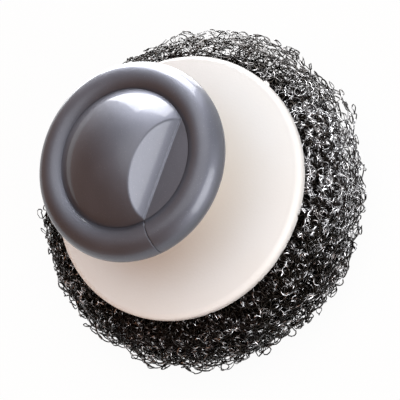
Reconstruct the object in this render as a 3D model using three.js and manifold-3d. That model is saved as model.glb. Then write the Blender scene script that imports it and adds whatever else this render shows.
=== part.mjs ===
// Palm scourer: a round knob that screws a knitted wire scourer against the underside of a moulded cover.
// Millimetres, +Z up. The origin is on the floor, under the middle of the scourer.
// The thumb flat of the knob's cap faces -Y.
import * as THREE from 'three';
import { mergeVertices } from 'three/addons/utils/BufferGeometryUtils.js';
import Module from 'manifold-3d';

const wasm = await Module();
wasm.setup();

// Clearances
const SEAT_GAP = 0.3; // between two pieces that rest on each other
const BOLT_CLEARANCE = 0.4; // all round the bolt, in every hole that it runs through
const CLAW_CLEARANCE = 0.4; // all round a claw, in the scourer
const KNIT_GAP = 0.7; // between the scourer's inner mass and its knitted outer layer, where they meet
const FLOOR_GAP = 0.5; // from the floor up to the last row of the knitted outer layer
const WELL_CLEARANCE = 3; // from the edge of the clamp plate to the wall of the scourer's well

// Knitted wire scourer
const SCOURER_DIAMETER = 114;
const SCOURER_HEIGHT = 28;
const WIDEST_HEIGHT = 14.5; // height of the widest level above the floor
const FOOT_INSET = 13; // from the widest point in to the flat ring that it stands on
const WELL_HEIGHT = 13; // roof of the well in the underside, where the clamp plate presses
const WELL_FLARE = 8; // the well opens by this much down to the floor
const LUMP_HEIGHT = 0.9; // the bulge wanders in and out by this much
const LOOSE_DEPTH = 8.5; // from the knitted layer in to the inner mass, at the widest level
const LOOSE_SWING = 2.5; // this much deeper on the side where the knit is loosest, shallower on the other
const LOOSE_TURN = -10; // way to the loosest side, in degrees from +X
const BULGE_STEPS = 5; // facets on each half of the bulge's section
const WIRE_WIDTH = 1.2; // strand of the knitted outer layer, across
const WIRE_DEPTH = 0.9; // and through
const KNIT_COLUMNS = 40; // stitches round the scourer
const KNIT_ROWS = 11; // rows of stitches from the cover down to the floor
const KNIT_FROM = 90; // first and last row, in degrees above the widest level
const KNIT_TO = -76;
const STITCH_WANDER = 0.22; // how far a knot strays, as a share of a stitch

// Cover, with its neck
const COVER_DIAMETER = 86;
const COVER_HEIGHT = 21.2; // seat on the scourer to the top of the neck
const COVER_WALL = 2.4;
const RIM_HEIGHT = 4.4;
const RIM_ROUND = 2.4;
const SHOULDER_RISE = 3; // the cover is this much higher half way in from the rim
const NECK_DIAMETER = 24;
const NECK_STRAIGHT = 3; // upright band under the top of the neck
const NECK_FLARE = 12; // height over which the neck opens out into the cover
const BOSS_DIAMETER = 12;
const RIB_COUNT = 8;
const RIB_WIDTH = 1.8;
const SCOURER_TUCK = 1; // the scourer leaves the cover this far inside the rim

// Knob: hub, split ring and cap
const RING_DIAMETER = 61;
const RING_SECTION = 11.2;
const RING_LIFT = 9.6; // foot of the hub to the middle of the ring
const SPLIT_WIDTH = 0.35;
const SADDLE_LIP = 1.3; // thickness of the hub under the ring
const SADDLE_REACH = 52; // degrees that the hub's saddle wraps under the ring
const CAP_FLOOR_LIFT = 4.2; // middle of the ring to the foot of the dome
const CAP_WALL = 2;
const FLANGE_THICKNESS = 1.6;
const FLANGE_SEAT = 4.2; // width of the flange outside the skirt
const SKIRT_LENGTH = 3;
const DOME_RISE = 8.5;
const FLAT_DEPTH = 6.6; // the thumb flat starts this far in from the foot of the dome
const FLAT_LEAN = 40; // degrees from upright
const FLAT_HOLLOW = 0.8; // the thumb flat is scooped out by this much in the middle

// Fastening
const BOLT_DIAMETER = 6;
const BOLT_STANDOUT = 5; // end of the bolt above the nut
const BOLT_HEAD_DIAMETER = 14;
const BOLT_HEAD_HEIGHT = 3.2;
const BOLT_TIP_CHAMFER = 0.8;
const NUT_WALL = 2;
const NUT_THICKNESS = 5;
const NUT_CHAMFER = 0.5;
const WASHER_THICKNESS = 1;
const WASHER_INSET = 2; // from the edge of the neck in to the washer
const CLAMP_DIAMETER = 34;
const CLAMP_THICKNESS = 2.6;
const CLAMP_RIM_ROUND = 1;
const CLAW_COUNT = 6;
const CLAW_INSET = 4;
const CLAW_HEIGHT = 5.5;
const CLAW_ROOT = 2; // radius of a claw at the plate
const CLAW_TIP = 0.5;

// Facets
const ROUND_STEPS = 48;
const RING_STEPS = 16;
const BOLT_STEPS = 20;
const CLAW_STEPS = 6;
const CURVE_STEPS = 6;
const MERGE_DISTANCE = 1e-4;
const OVERCUT = 1; // a cutter reaches this far past what it cuts

// Sizes that follow from those above
const boltRadius = BOLT_DIAMETER / 2;
const boltHole = boltRadius + BOLT_CLEARANCE;
const ringTube = RING_SECTION / 2;
const ringRadius = RING_DIAMETER / 2 - ringTube;
const neckRadius = NECK_DIAMETER / 2;
const coverRadius = COVER_DIAMETER / 2;
const clampRadius = CLAMP_DIAMETER / 2;
const clawCircle = clampRadius - CLAW_INSET;
const nutPocketFlats = boltRadius + NUT_WALL + SEAT_GAP;

// Inner edge of the space that the ring takes up, at a height above the middle of the ring
const insideRing = (height) => ringRadius - Math.sqrt((ringTube + SEAT_GAP) ** 2 - height ** 2);

const domeRadius = insideRing(CAP_FLOOR_LIFT);
const flangeFootRadius = insideRing(CAP_FLOOR_LIFT - FLANGE_THICKNESS);
const skirtRadius = flangeFootRadius - FLANGE_SEAT;
const hubTop = RING_LIFT + CAP_FLOOR_LIFT - FLANGE_THICKNESS - SEAT_GAP;
const hubRecess = hubTop - SKIRT_LENGTH;
const nutSeat = hubRecess - NUT_THICKNESS;

// Heights of the pieces above the floor
const coverSeat = SCOURER_HEIGHT + SEAT_GAP;
const washerSeat = coverSeat + COVER_HEIGHT + SEAT_GAP;
const hubFoot = washerSeat + WASHER_THICKNESS + SEAT_GAP;
const ringLevel = hubFoot + RING_LIFT;
const capFloor = ringLevel + CAP_FLOOR_LIFT;
const nutFoot = hubFoot + nutSeat;
const clampFoot = WELL_HEIGHT - SEAT_GAP - CLAMP_THICKNESS;
const boltSeat = clampFoot - SEAT_GAP;
const boltLength = nutFoot + NUT_THICKNESS + BOLT_STANDOUT - boltSeat;

const radians = THREE.MathUtils.degToRad;
const point = (radius, height) => new THREE.Vector2(radius, height);

// A closed solid from any geometry whose faces close, turned so that its faces point out
function solid(geometry) {
  const bare = geometry.clone();
  bare.deleteAttribute('normal');
  bare.deleteAttribute('uv');
  const merged = mergeVertices(bare, MERGE_DISTANCE);
  const corners = new Float32Array(merged.getAttribute('position').array);
  const triangles = wholeTriangles(merged.index.array);
  if (signedVolume(corners, triangles) < 0) triangles.reverse();
  return new wasm.Manifold(
    new wasm.Mesh({ numProp: 3, vertProperties: corners, triVerts: new Uint32Array(triangles) }),
  );
}

// The triangles that still have three corners after merging
function wholeTriangles(index) {
  const kept = [];
  for (let i = 0; i < index.length; i += 3) {
    const [a, b, c] = [index[i], index[i + 1], index[i + 2]];
    if (a !== b && b !== c && c !== a) kept.push(a, b, c);
  }
  return kept;
}

function signedVolume(corners, triangles) {
  const corner = (i) => new THREE.Vector3().fromArray(corners, 3 * triangles[i]);
  let volume = 0;
  for (let i = 0; i < triangles.length; i += 3) {
    volume += corner(i).dot(corner(i + 1).cross(corner(i + 2))) / 6;
  }
  return volume;
}

function sum(solids) {
  return solids.reduce((whole, piece) => whole.add(piece));
}

// Turns a profile of (radius, height) points round the Z axis
function revolve(profile, steps = ROUND_STEPS) {
  return solid(new THREE.LatheGeometry(profile, steps).rotateX(Math.PI / 2));
}

// A ring of rectangular section, or a disc when the inner radius is zero
function disc(inner, outer, foot, top, steps = ROUND_STEPS) {
  const profile = [point(inner, foot), point(outer, foot), point(outer, top), point(inner, top)];
  if (inner > 0) profile.push(point(inner, foot));
  return revolve(profile, steps);
}

function box(width, depth, foot, top) {
  return solid(new THREE.BoxGeometry(width, depth, top - foot).translate(0, 0, (foot + top) / 2));
}

// Copies of a solid spread evenly round the Z axis
function spread(piece, count) {
  const copies = [];
  for (let i = 0; i < count; i += 1) copies.push(piece.rotate([0, 0, (360 * i) / count]));
  return sum(copies);
}

function curve(...corners) {
  const path = corners.length === 3 ? THREE.QuadraticBezierCurve : THREE.CubicBezierCurve;
  return new path(...corners).getPoints(CURVE_STEPS);
}

// Points on a circle in the profile plane, between two angles in degrees
function arc(radius, height, size, from, to, steps = CURVE_STEPS) {
  const points = [];
  for (let i = 0; i <= steps; i += 1) {
    const angle = radians(from + ((to - from) * i) / steps);
    points.push(point(radius + size * Math.cos(angle), height + size * Math.sin(angle)));
  }
  return points;
}

// Moves the points of a profile sideways by a distance, to its right along its run
function offset(profile, distance) {
  return profile.map((here, i) => {
    const before = profile[Math.max(i - 1, 0)];
    const after = profile[Math.min(i + 1, profile.length - 1)];
    const along = after.clone().sub(before).normalize();
    return point(here.x + along.y * distance, here.y - along.x * distance);
  });
}

// Knob: split ring, as thick as a finger, sprung over the hub's saddle
function gripRing() {
  const ring = solid(new THREE.TorusGeometry(ringRadius, ringTube, RING_STEPS, ROUND_STEPS));
  const slot = box(SPLIT_WIDTH, RING_SECTION + 2 * OVERCUT, -RING_SECTION, RING_SECTION);
  const flatHalfAngle = THREE.MathUtils.radToDeg(Math.acos(1 - FLAT_DEPTH / domeRadius));
  const split = slot.translate([0, -ringRadius, 0]).rotate([0, 0, -flatHalfAngle]);
  return ring.subtract(split);
}

// Knob: hub with the neck's flare below, a saddle for the ring, a recess for the cap and a pocket for the nut
function knobHub() {
  const saddle = arc(ringRadius, RING_LIFT, ringTube + SEAT_GAP, 180 + SADDLE_REACH, 180);
  const lip = saddle[0];
  const edge = point(lip.x, lip.y - SADDLE_LIP);
  const body = revolve([
    point(0, 0),
    ...curve(point(neckRadius, 0), point(neckRadius + 1, edge.y), edge),
    ...saddle,
    point(insideRing(hubTop - RING_LIFT), hubTop),
    point(0, hubTop),
  ]);
  const recess = disc(0, skirtRadius + SEAT_GAP, hubRecess, hubTop + OVERCUT);
  const pocketCorner = nutPocketFlats / Math.cos(Math.PI / 6);
  const pocket = disc(0, pocketCorner, nutSeat - SEAT_GAP, hubTop, 6);
  const hole = disc(0, boltHole, -OVERCUT, hubTop, BOLT_STEPS);
  return body.subtract(recess).subtract(pocket).subtract(hole);
}

// Profile of a dome over a round foot at height zero, from its top to its edge
function domeProfile(radius, rise) {
  const ball = (radius ** 2 + rise ** 2) / (2 * rise);
  const edge = THREE.MathUtils.radToDeg(Math.asin((ball - rise) / ball));
  return arc(0, rise - ball, ball, 90, edge, CURVE_STEPS + 2);
}

// What the thumb flat takes off a dome: all above its floor and beyond a leaning, scooped face
function flatCutter(distance, floor) {
  const reach = RING_DIAMETER;
  const lean = radians(FLAT_LEAN);
  const rise = DOME_RISE + OVERCUT;
  const foot = point(-distance, floor);
  const head = point(-distance + rise * Math.tan(lean), floor + rise);
  // a quadratic curve bows by half the distance to its middle corner
  const scoop = point(Math.cos(lean), -Math.sin(lean)).multiplyScalar(2 * FLAT_HOLLOW);
  const outline = new THREE.Shape([
    ...curve(foot, foot.clone().lerp(head, 1 / 2).add(scoop), head),
    point(-distance - reach, floor + rise),
    point(-distance - reach, floor),
  ]);
  const wedge = new THREE.ExtrudeGeometry(outline, { depth: 2 * reach, bevelEnabled: false });
  // the outline's axes become Y and Z, and its depth runs along X
  wedge.translate(0, 0, -reach).rotateY(Math.PI / 2).rotateX(Math.PI / 2);
  return solid(wedge);
}

// Knob: domed cap with a thumb flat, on a flange, with a skirt that presses into the hub
function knobCap() {
  const flangeFoot = -FLANGE_THICKNESS;
  const skirtFoot = flangeFoot - SKIRT_LENGTH;
  const outside = revolve([
    ...domeProfile(domeRadius, DOME_RISE),
    point(flangeFootRadius, flangeFoot),
    point(skirtRadius, flangeFoot),
    point(skirtRadius, skirtFoot),
    point(0, skirtFoot),
  ]);
  const flatDistance = domeRadius - FLAT_DEPTH;
  const shell = outside.subtract(flatCutter(flatDistance, 0));
  const hollowRadius = skirtRadius - CAP_WALL;
  const hollowRise = DOME_RISE - CAP_WALL;
  const hollow = revolve([
    ...domeProfile(domeRadius, hollowRise),
    point(domeRadius, skirtFoot - OVERCUT),
    point(0, skirtFoot - OVERCUT),
  ]);
  const wallBehindFlat = CAP_WALL / Math.cos(radians(FLAT_LEAN));
  const inside = hollow
    .intersect(disc(0, hollowRadius, skirtFoot - OVERCUT, DOME_RISE))
    .subtract(flatCutter(flatDistance - wallBehindFlat, -CAP_WALL));
  return shell.subtract(inside);
}

// Fastening: hexagon nut held in the hub, with the corners of its ends taken off
function captiveNut() {
  const flats = boltRadius + NUT_WALL;
  const corner = flats / Math.cos(Math.PI / 6);
  const hexagon = disc(0, corner, 0, NUT_THICKNESS, 6);
  const chamfers = revolve([
    point(0, 0),
    point(corner - 2 * NUT_CHAMFER, 0),
    point(corner, NUT_CHAMFER),
    point(corner, NUT_THICKNESS - NUT_CHAMFER),
    point(corner - 2 * NUT_CHAMFER, NUT_THICKNESS),
    point(0, NUT_THICKNESS),
  ]);
  const hole = disc(0, boltHole, -OVERCUT, NUT_THICKNESS + OVERCUT, BOLT_STEPS);
  return hexagon.intersect(chamfers).subtract(hole);
}

// Fastening: washer that the knob turns on
function thrustWasher() {
  return disc(boltHole, neckRadius - WASHER_INSET, 0, WASHER_THICKNESS);
}

// Outside of the cover from the top of its neck down to its rim, moved in by a distance
function coverProfile(inset) {
  const shoulder = point(coverRadius - RIM_ROUND, RIM_HEIGHT);
  const flareTop = point(neckRadius, COVER_HEIGHT - NECK_STRAIGHT);
  const flareFoot = point(neckRadius, COVER_HEIGHT - NECK_STRAIGHT - NECK_FLARE);
  const middle = point((neckRadius + coverRadius) / 2, RIM_HEIGHT + SHOULDER_RISE);
  const run = [
    point(neckRadius, COVER_HEIGHT),
    ...curve(flareTop, flareFoot, middle, shoulder),
    ...arc(coverRadius - RIM_ROUND, RIM_HEIGHT - RIM_ROUND, RIM_ROUND, 75, 0, 4),
    point(coverRadius, 0),
  ];
  return offset(run, inset);
}

// The cover as if it were solid, shrunk by a distance, reaching down to a foot
function coverFill(inset, foot) {
  const profile = coverProfile(inset);
  const rim = profile[profile.length - 1];
  return revolve([
    point(0, COVER_HEIGHT - inset),
    point(profile[0].x, COVER_HEIGHT - inset),
    ...profile.slice(1),
    point(rim.x, foot),
    point(0, foot),
  ]);
}

// Cover: a thin bell with a neck, a boss for the bolt and ribs that bear on the scourer
function baseCover() {
  const bell = coverFill(0, 0).subtract(coverFill(COVER_WALL, -OVERCUT));
  const boss = disc(0, BOSS_DIAMETER / 2, 0, COVER_HEIGHT);
  const halfRib = box(RIB_WIDTH, coverRadius, 0, COVER_HEIGHT).translate([0, coverRadius / 2, 0]);
  const ribs = spread(halfRib, RIB_COUNT).intersect(coverFill(COVER_WALL / 2, 0));
  const hole = disc(0, boltHole, -OVERCUT, COVER_HEIGHT + OVERCUT, BOLT_STEPS);
  return sum([bell, boss, ribs]).subtract(hole);
}

// A pointed claw that stands on the clamp plate, grown by a clearance for its pocket
function claw(foot, clearance) {
  const top = CLAW_HEIGHT + clearance;
  const profile = [
    point(0, -OVERCUT),
    point(CLAW_ROOT + clearance, -OVERCUT),
    point(CLAW_ROOT + clearance, 0),
    point(CLAW_TIP + clearance, top),
    point(0, top),
  ];
  return revolve(profile, CLAW_STEPS).translate([clawCircle, 0, foot]);
}

// Clamp: plate that pulls the middle of the scourer up, with claws that stop it turning
function clampPlate() {
  const plate = revolve([
    point(0, 0),
    ...arc(clampRadius - CLAMP_RIM_ROUND, CLAMP_RIM_ROUND, CLAMP_RIM_ROUND, -90, 0, 3),
    point(clampRadius, CLAMP_THICKNESS),
    point(0, CLAMP_THICKNESS),
  ]);
  const side = 2 * boltHole;
  const squareHole = box(side, side, -OVERCUT, CLAMP_THICKNESS + OVERCUT);
  return plate.add(spread(claw(CLAMP_THICKNESS, 0), CLAW_COUNT)).subtract(squareHole);
}

// Fastening: bolt with a domed head under the clamp plate and a square neck in it
function tieBolt() {
  const head = domeProfile(BOLT_HEAD_DIAMETER / 2, BOLT_HEAD_HEIGHT)
    .map((here) => point(here.x, -here.y));
  const shank = revolve(
    [
      ...head,
      point(boltRadius, 0),
      point(boltRadius, boltLength - BOLT_TIP_CHAMFER),
      point(boltRadius - BOLT_TIP_CHAMFER, boltLength),
      point(0, boltLength),
    ],
    BOLT_STEPS,
  );
  const neck = box(BOLT_DIAMETER, BOLT_DIAMETER, -BOLT_HEAD_HEIGHT / 4, CLAMP_THICKNESS + SEAT_GAP);
  return shank.add(neck);
}

// Scourer: half of a lumpy ellipse, from the edge that the cover's rim pinches down to the foot
const shoulderRadius = coverRadius - SCOURER_TUCK;
const bulgeRadius = SCOURER_DIAMETER / 2 - WIRE_DEPTH;
const footRadius = bulgeRadius - FOOT_INSET;
const bulgeTop = SCOURER_HEIGHT - WIRE_DEPTH;
const bulgeFoot = FLOOR_GAP + WIRE_DEPTH;

// Point of the bulge at an angle above its widest level, standing out from it by a distance
function bulge(angle, turn, out) {
  const [middle, rise] = angle > 0
    ? [shoulderRadius, bulgeTop - WIDEST_HEIGHT]
    : [footRadius, WIDEST_HEIGHT - bulgeFoot];
  const reach = bulgeRadius - middle;
  const [across, up] = [Math.cos(angle), Math.sin(angle)];
  const facing = point(across / reach, up / rise).normalize();
  const lumps = Math.sin(6 * turn + 3 * angle) + Math.sin(14 * turn - 5 * angle);
  const radius = middle + reach * across + (LUMP_HEIGHT / 2) * across * lumps + out * facing.x;
  const height = WIDEST_HEIGHT + rise * up + out * facing.y;
  return new THREE.Vector3(radius * Math.cos(turn), radius * Math.sin(turn), height);
}

// Point of the inner mass, which lies close under the edge of the knit and is set back below it
function massEdge(angle, turn) {
  const depth = LOOSE_DEPTH + LOOSE_SWING * Math.cos(turn - radians(LOOSE_TURN));
  return bulge(angle, turn, -KNIT_GAP - depth * Math.cos(angle));
}

// Triangles between the rings of a grid of points that closes on itself both ways
function closedGrid(rings) {
  const count = rings[0].length;
  const index = [];
  rings.forEach((ring, i) => {
    const next = (i + 1) % rings.length;
    for (let j = 0; j < count; j += 1) {
      const k = (j + 1) % count;
      const [a, b, c, d] = [i * count + j, next * count + j, next * count + k, i * count + k];
      index.push(a, b, c, a, c, d);
    }
  });
  const geometry = new THREE.BufferGeometry().setFromPoints(rings.flat());
  geometry.setIndex(index);
  return geometry;
}

// Scourer: the pressed inner mass, with a well for the clamp plate and pockets for its claws
function scourerCore() {
  const wellRadius = clampRadius + WELL_CLEARANCE;
  const hollow = [
    point(footRadius, 0),
    point(wellRadius + WELL_FLARE, 0),
    point(wellRadius + WELL_FLARE / 4, WELL_HEIGHT / 2),
    point(wellRadius, WELL_HEIGHT),
    point(boltHole + WELL_CLEARANCE, WELL_HEIGHT),
    point(boltHole + WELL_CLEARANCE, SCOURER_HEIGHT),
    point(coverRadius - COVER_WALL - KNIT_GAP, SCOURER_HEIGHT),
  ];
  const rings = [];
  for (let i = 0; i < ROUND_STEPS; i += 1) {
    const turn = (2 * Math.PI * i) / ROUND_STEPS;
    const ring = hollow.map((p) => new THREE.Vector3(p.x * Math.cos(turn), p.x * Math.sin(turn), p.y));
    for (let j = BULGE_STEPS; j >= -BULGE_STEPS; j -= 1) {
      ring.push(massEdge((Math.PI / 2) * (j / BULGE_STEPS), turn));
    }
    rings.push(ring);
  }
  const pockets = spread(claw(clampFoot + CLAMP_THICKNESS, CLAW_CLEARANCE), CLAW_COUNT);
  return solid(closedGrid(rings)).subtract(pockets);
}

// Scourer: the knitted outer layer, a net of four-sided strands over the bulge.
// Knots lie on a staggered grid, each stitch is a gap between four knots, and the
// strands have a crest outside, a crest inside and the edges of the gaps between.
function scourerMesh() {
  const columns = 2 * KNIT_COLUMNS;
  const rows = KNIT_ROWS + 1;
  const middle = WIRE_DEPTH / 2;
  const place = (column, row, out) => {
    const turn = (2 * Math.PI * column) / columns;
    const share = row / rows;
    return bulge(radians(KNIT_FROM + (KNIT_TO - KNIT_FROM) * share), turn, out);
  };
  // knots stray along and across the rows, but not off the first and last row
  const knot = (column, row) => {
    const turn = (2 * Math.PI * column) / columns;
    const inner = row > 0 && row < rows ? 1 : 0;
    const along = column + STITCH_WANDER * Math.sin(8 * turn + 2 * row);
    const across = row + STITCH_WANDER * inner * Math.sin(10 * turn - 3 * row);
    return point(along, across);
  };
  const corners = [];
  const addQuad = (a, b, c, d) => corners.push(a, b, c, a, c, d);
  const crest = (at, side) => place(at.x, at.y, middle + (side * WIRE_DEPTH) / 2);
  for (let row = 1; row < rows; row += 1) {
    for (let column = row % 2 === 0 ? 1 : 0; column < columns; column += 2) {
      const around = [[-1, 0], [0, 1], [1, 0], [0, -1]];
      const knots = around.map(([dc, dr]) => knot(column + dc, row + dr));
      const centre = point(0, 0);
      knots.forEach((at) => centre.addScaledVector(at, 1 / 4));
      const stitch = crest(knots[0], 0).distanceTo(crest(knots[2], 0));
      const open = 1 - (Math.SQRT2 * WIRE_WIDTH) / stitch;
      const gap = knots.map((at) => at.clone().lerp(centre, 1 - open));
      knots.forEach((at, k) => {
        const next = (k + 1) % 4;
        const edge = [gap[k], gap[next]].map((p) => place(p.x, p.y, middle));
        addQuad(crest(at, 1), crest(knots[next], 1), edge[1], edge[0]);
        addQuad(crest(knots[next], -1), crest(at, -1), edge[0], edge[1]);
        const onBorder = (row === 1 && around[k][1] + around[next][1] < 0)
          || (row === rows - 1 && around[k][1] + around[next][1] > 0);
        if (onBorder) addQuad(crest(knots[next], 1), crest(at, 1), crest(at, -1), crest(knots[next], -1));
      });
    }
  }
  return solid(new THREE.BufferGeometry().setFromPoints(corners));
}

const GREY_PLASTIC = { color: 0x66666d, roughness: 0.28, metalness: 0 };
const WHITE_PLASTIC = { color: 0xebe6e0, roughness: 0.42, metalness: 0 };
const BRIGHT_STEEL = { color: 0xb9bbbe, roughness: 0.3, metalness: 1 };
const DARK_STEEL = { color: 0x2c2a28, roughness: 0.5, metalness: 1 };

function piece(name, shape, finish, level) {
  const sheet = shape.getMesh();
  const geometry = new THREE.BufferGeometry();
  geometry.setAttribute('position', new THREE.BufferAttribute(sheet.vertProperties, sheet.numProp));
  geometry.setIndex(new THREE.BufferAttribute(sheet.triVerts, 1));
  const mesh = new THREE.Mesh(geometry, new THREE.MeshStandardMaterial(finish));
  mesh.name = name;
  mesh.position.z = level;
  return mesh;
}

const base = new THREE.Group().add(
  piece('base_cover', baseCover(), WHITE_PLASTIC, coverSeat),
  piece('thrust_washer', thrustWasher(), BRIGHT_STEEL, washerSeat),
  piece('scourer_core', scourerCore(), DARK_STEEL, 0),
  piece('scourer_mesh', scourerMesh(), DARK_STEEL, 0),
);

const knob = new THREE.Group().add(
  piece('knob_hub', knobHub(), GREY_PLASTIC, hubFoot),
  piece('grip_ring', gripRing(), GREY_PLASTIC, ringLevel),
  piece('knob_cap', knobCap(), GREY_PLASTIC, capFloor),
  piece('captive_nut', captiveNut(), BRIGHT_STEEL, nutFoot),
);

const clamp = new THREE.Group().add(
  piece('clamp_plate', clampPlate(), WHITE_PLASTIC, clampFoot),
  piece('tie_bolt', tieBolt(), BRIGHT_STEEL, boltSeat),
);

export default new THREE.Group().add(base, knob, clamp);
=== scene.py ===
"""Palm scourer: a grey knob on a white cover over a scourer of knitted steel wire."""

import math
import random

import bpy
from bpy.props import FloatProperty, FloatVectorProperty, IntProperty, PointerProperty
from bpy.types import Operator, Panel, PropertyGroup
from mathutils import Matrix, Vector, noise


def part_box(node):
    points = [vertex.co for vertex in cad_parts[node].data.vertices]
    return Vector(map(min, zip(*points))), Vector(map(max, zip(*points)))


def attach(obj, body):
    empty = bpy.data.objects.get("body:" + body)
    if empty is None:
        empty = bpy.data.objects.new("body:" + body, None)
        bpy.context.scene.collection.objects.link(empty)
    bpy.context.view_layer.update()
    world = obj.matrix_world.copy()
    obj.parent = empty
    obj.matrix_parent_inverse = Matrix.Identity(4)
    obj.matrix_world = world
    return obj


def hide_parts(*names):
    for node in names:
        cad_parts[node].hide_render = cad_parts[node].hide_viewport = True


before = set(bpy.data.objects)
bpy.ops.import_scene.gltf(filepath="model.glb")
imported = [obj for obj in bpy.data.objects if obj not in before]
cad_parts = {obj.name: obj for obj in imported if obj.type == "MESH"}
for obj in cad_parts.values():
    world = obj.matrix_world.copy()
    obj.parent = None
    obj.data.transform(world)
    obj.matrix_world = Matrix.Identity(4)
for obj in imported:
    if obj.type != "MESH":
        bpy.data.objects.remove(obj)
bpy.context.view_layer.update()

bl_info = {
    "name": "Palm Scourer",
    "version": (1, 0, 0),
    "blender": (4, 5, 0),
    "location": "View3D > Sidebar > Scourer",
    "description": "Builds the looks of a palm-held wire scourer around its solid parts",
    "category": "Add Mesh",
}

MM = 0.001
TURN = 2 * math.pi
GOLDEN = (math.sqrt(5) - 1) / 2
PHOTO_SIZE = 400  # pixels across and down
SKY = (0.224, -0.129, 0.966)  # the way to the middle of the bright sky
# The wire is painted as if in shade: duller away from NEAR, and darker towards WINDOWS
NEAR = (0.82, -0.57, 0.0)  # the way to the paler side of the room, where the wire is brightest
FRONT = (-0.034, -0.978, 0.208)  # the way to the middle of the pale patch in front
WINDOWS = (0.93, 0.37, 0.0)  # the way to the windows
UP = (0.0, 0.0, 1.0)
LEVEL = (1.0, 1.0, 0.0)  # keeps a place's way out from the axis and drops its height
# Painted shade: between these radii the cover is painted the warm tan of the knob's shade round its neck
NECK_SHADE_RADII = (36 * MM, 14 * MM)  # the cover takes its neck's colour between these radii

FINISH_NAME = "{}_finish"  # of a slot's procedural material; the frame's plain one has the slot's name

# Steps round the axis of a turned piece, along a rounded edge and along a curve
ROUND_STEPS = 192
EDGE_STEPS = 5
CURVE_STEPS = 32
SHARP = math.radians(40)  # edges that turn more than this aren't shaded smooth

BEVEL = 0.2 * MM  # broken edges of the fastening
OVERLAP = 0.1 * MM  # how far a claw is sunk into its plate

# The wire: the step along the lines that it follows, and as shares of half of its width,
# its thickness and how high it stays above the floor
LINE_STEP = 1.2 * MM
FLAT_WIRE = 1.0
OFF_FLOOR = 1.15

# The noise that a row of the knit wanders by: the row's radius in it, how far apart two rows lie
# in it, and how far a row's ins and outs lie from its ups and downs
ROW_RADIUS = 5.0
ROW_APART = 1.7
SINK_APART = Vector((0, 0, 50))

# The noise that varies the loops: grains in a metre, how far apart two strands lie in it,
# and how much finer it is where it swells, loosens and twists them
WIRE_GRAIN = 90
STRAND_APART = 0.37
SWELL_GRAIN = 4.0
LOOSE_GRAIN = 2.3
TWIST_GRAIN = 1.5

# A loop: its least size, its swell and its weave out of its plane as shares,
# how far the noise moves it on, and how far it tilts
LEAST_LOOP = 0.45
LOOP_SWELL = 1.1
LOOP_WEAVE = 0.45
LOOP_SHIFT = 7
LOOP_TILT = 4.0

# A free strand: how much it turns and sinks at a step, and its least depth
STRAND_TURN = 0.22
STRAND_SINK = 0.03
STRAND_DEPTH = 0.1

# Soft boxes: place as azimuth in degrees, distance and height, then size and roll in degrees
LAMPS = {
    "window": ((122, 0.3, 0.063), (0.17, 0.285), 38.7),
    "pane": ((101, 0.3, 0.112), (0.144, 0.2), 0),
    "card": ((122, 0.165, 0.003), (0.2, 0.17), 0),
    "screen": ((-2, 0.35, 0.135), (0.26, 0.26), 0),
}
LAMP_TINT = (0.97, 0.985, 1.0)
FLOOR_SHADE = (0.9, 0.87, 0.83)

# Cosines between which the bright sky, the paler side and the pale patch in front come in
SKY_EDGE = (0.78, 0.97)
NEAR_EDGE = (-0.6, 0.3)
FRONT_EDGE = (0.88, 0.95)


# Sizes that the pieces share, read from the frame

def reach(node):
    """How far a node reaches from the axis along X."""
    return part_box(node)[1].x


def foot(node):
    """Height of the lowest point of a node."""
    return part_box(node)[0].z


def top(node):
    """Height of the highest point of a node."""
    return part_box(node)[1].z


# Settings for the sidebar

def setting(kind, **limits):
    """A function that makes settings of one kind from a description and a value."""
    return lambda description, value: kind(description=description, default=value, **limits)


amount = setting(FloatProperty)
share = setting(FloatProperty, min=0, max=1, subtype="FACTOR")
count = setting(IntProperty, min=1)
colour = setting(FloatVectorProperty, size=3, min=0, max=1, subtype="COLOR")  # linear
length = setting(FloatProperty, unit="LENGTH", precision=5)  # in metres


def mm(description, size):
    """A length, written in millimetres."""
    return length(description, size * MM)


def angle(description, degrees):
    """An angle, written in degrees."""
    return FloatProperty(description=description, default=math.radians(degrees), subtype="ANGLE")


def group(kind):
    """A group of settings, described by its own first line."""
    return PointerProperty(type=kind, description=kind.__doc__.rstrip("."))


def labelled(kind):
    """Names each setting of a group after its attribute."""
    for key, setting in kind.__annotations__.items():
        setting.keywords["name"] = key.replace("_", " ").capitalize()
    return kind


@labelled
class KnobSizes(PropertyGroup):
    """Sizes of the knob: grip ring, cap and hub."""

    ring_section: length("Thickness of the grip ring", top("grip_ring") - foot("grip_ring"))
    ring_split: mm("Width of the split across the grip ring", 0.14)
    split_round: mm("Rounding of the edges of the split", 0.12)
    seat_gap: mm("Gap between two pieces that rest on each other", 0.3)
    dome_rise: mm("Height of the cap's dome", 8.5)
    flat_depth: mm("From the dome's foot in to the thumb flat", 6.6)
    flat_lean: angle("How far the thumb flat leans back from upright", 40)
    flat_hollow: mm("Depth of the scoop in the thumb flat", 0.56)
    flat_edge: mm("Rounding of the edge between the flat and the dome", 0.22)
    cap_gap: mm("Gap between the cap and the ring", 0.06)
    flat_fillet: mm("Size of the fillet along the foot of the flat", 0.12)
    flat_lip: mm("Height of the fine lip along the foot of the flat", 0.32)
    flange: mm("Thickness of the cap's flange", 1.6)
    flange_seat: mm("Width of the flange outside the skirt", 4.2)
    cap_wall: mm("Thickness of the cap", 2)
    saddle_reach: angle("How far the hub's saddle wraps under the ring", 52)
    saddle_lip: mm("Thickness of the hub under the ring", 1.3)
    hub_height: length("Foot of the hub to its top", top("knob_hub") - foot("knob_hub"))
    hub_recess: mm("Depth of the recess for the cap's skirt", 3)
    nut_flats: mm("Axis to the flats of the nut's pocket", 5.3)
    nut_seat: mm("Foot of the hub to the floor of the nut's pocket", 3.6)
    edge: mm("Rounding of the moulded edges", 0.3)


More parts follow.
